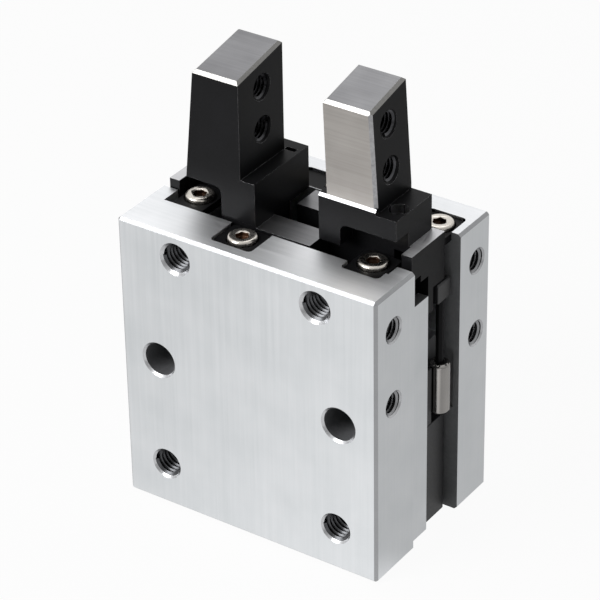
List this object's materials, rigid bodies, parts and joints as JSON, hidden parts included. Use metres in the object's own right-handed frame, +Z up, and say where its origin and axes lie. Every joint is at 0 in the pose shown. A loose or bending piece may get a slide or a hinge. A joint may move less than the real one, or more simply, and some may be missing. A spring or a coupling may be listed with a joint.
{
  "type": "pneumatic_angular_gripper",
  "caption": "Pneumatic angular gripper: slotted aluminium block with black steel jaws that swing on pivot pins, driven by a piston rod",
  "frame": {"origin": "bottom centre of the housing, between the jaws", "axes": "+Z up along the fingers, front face toward -Y, jaws spread along X"},
  "size_m": [0.06, 0.041, 0.0976],
  "materials": {
    "housing": "clear anodised, fine brushed",
    "black_plate": "black oxide",
    "screw_steel": "stainless",
    "pin_steel": "ground",
    "jaw_steel": "black oxide with ground faces",
    "bronze": "sintered bronze",
    "seal": "matte",
    "magnet": "matte",
    "piston": "turned",
    "rod": "polished",
    "cover": "fine matte",
    "barrel": "polished"
  },
  "bodies": {
    "housing": {"housing": "housing", "plate_screws": "screw_steel", "pivot_pin_right": "pin_steel", "pivot_pin_left": "pin_steel", "pin_plugs": "pin_steel", "spacer_sleeve_right": "pin_steel", "spacer_sleeve_left": "pin_steel", "rod_bush": "bronze", "cylinder_cover": "piston", "cover_seal": "seal", "retaining_ring": "pin_steel", "rod_seal": "seal", "plate_front_left": "black_plate", "plate_front_centre": "black_plate", "plate_front_right": "black_plate", "plate_back_right": "black_plate", "plate_back_centre": "black_plate", "plate_back_left": "black_plate", "side_cover_right": "cover", "guide_plate_right": "cover", "damper_barrel_right": "barrel", "side_cover_left": "cover", "guide_plate_left": "cover", "damper_barrel_left": "barrel"},
    "right_jaw": {"right_jaw": "jaw_steel", "right_bush": "bronze"},
    "left_jaw": {"left_jaw": "jaw_steel", "left_bush": "bronze"},
    "piston": {"piston": "piston", "piston_seal": "seal", "piston_magnet": "magnet", "piston_guide_ring": "cover", "piston_screw": "pin_steel", "piston_rod": "rod", "drive_pin": "pin_steel"},
    "right_plunger": {"plunger_rod_right": "black_plate", "plunger_head_right": "cover"},
    "left_plunger": {"plunger_rod_left": "black_plate", "plunger_head_left": "cover"}
  },
  "joints": [
    {"name": "right_jaw_swing", "type": "hinge", "parent": "housing", "child": "right_jaw", "pos_m": [0.016, 0, 0.05], "axis": [0, 1, 0], "range_deg": [-2, 15]},
    {"name": "left_jaw_swing", "type": "hinge", "parent": "housing", "child": "left_jaw", "pos_m": [-0.016, 0, 0.05], "axis": [0, 1, 0], "range_deg": [-15, 2]},
    {"name": "piston_stroke", "type": "slide", "parent": "housing", "child": "piston", "axis": [0, 0, 1], "range_m": [-0.00058, 0.00428]},
    {"name": "right_plunger_travel", "type": "slide", "parent": "housing", "child": "right_plunger", "axis": [0, 0, 1], "range_m": [-0.00314, 0.00042]},
    {"name": "left_plunger_travel", "type": "slide", "parent": "housing", "child": "left_plunger", "axis": [0, 0, 1], "range_m": [-0.00314, 0.00042]}
  ],
  "couplings": [
    {"joint": "left_jaw_swing", "follows": "right_jaw_swing", "ratio": -1},
    {"joint": "piston_stroke", "follows": "right_jaw_swing", "m_per_rad": 0.0163},
    {"joint": "right_plunger_travel", "follows": "right_jaw_swing", "m_per_rad": -0.012},
    {"joint": "left_plunger_travel", "follows": "right_jaw_swing", "m_per_rad": -0.012}
  ]
}
